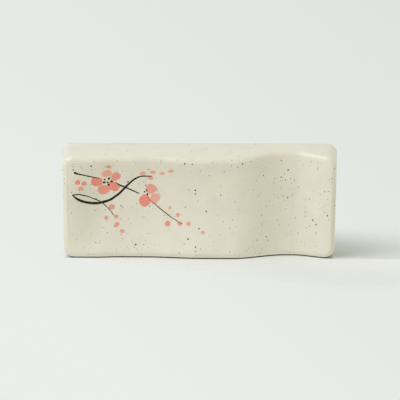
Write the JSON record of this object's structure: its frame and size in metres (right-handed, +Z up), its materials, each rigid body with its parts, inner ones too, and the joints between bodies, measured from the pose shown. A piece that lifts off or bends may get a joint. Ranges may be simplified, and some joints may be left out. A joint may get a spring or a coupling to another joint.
{
  "type": "chopstick rest",
  "caption": "Oblong ceramic chopstick rest with a waved top: scooped spoon dish, broad hump, chopstick groove, hollow foot and a painted blossom sprig.",
  "frame": {"origin": "middle of the foot's bounding box, on the surface that the rest stands on", "axes": "+X along the rest, from the spoon dish to the chopstick groove; +Y across the rest; +Z up, out of the rest surface"},
  "size_m": [0.11, 0.0446, 0.02],
  "materials": {
    "stoneware": "bare biscuit-fired clay, matt",
    "speckled_glaze": "glossy cream glaze with fine brown iron specks",
    "black_enamel": "hand-brushed black enamel, satin",
    "pink_enamel": "hand-dabbed translucent coral pink enamel, satin"
  },
  "bodies": {
    "root": {"clay_body": "stoneware", "outer_glaze": "speckled_glaze", "foot_hollow_glaze": "speckled_glaze", "branch_strokes": "black_enamel", "blossom_petals": "pink_enamel", "bud_dots": "pink_enamel", "stamen_dots": "black_enamel"}
  },
  "joints": []
}
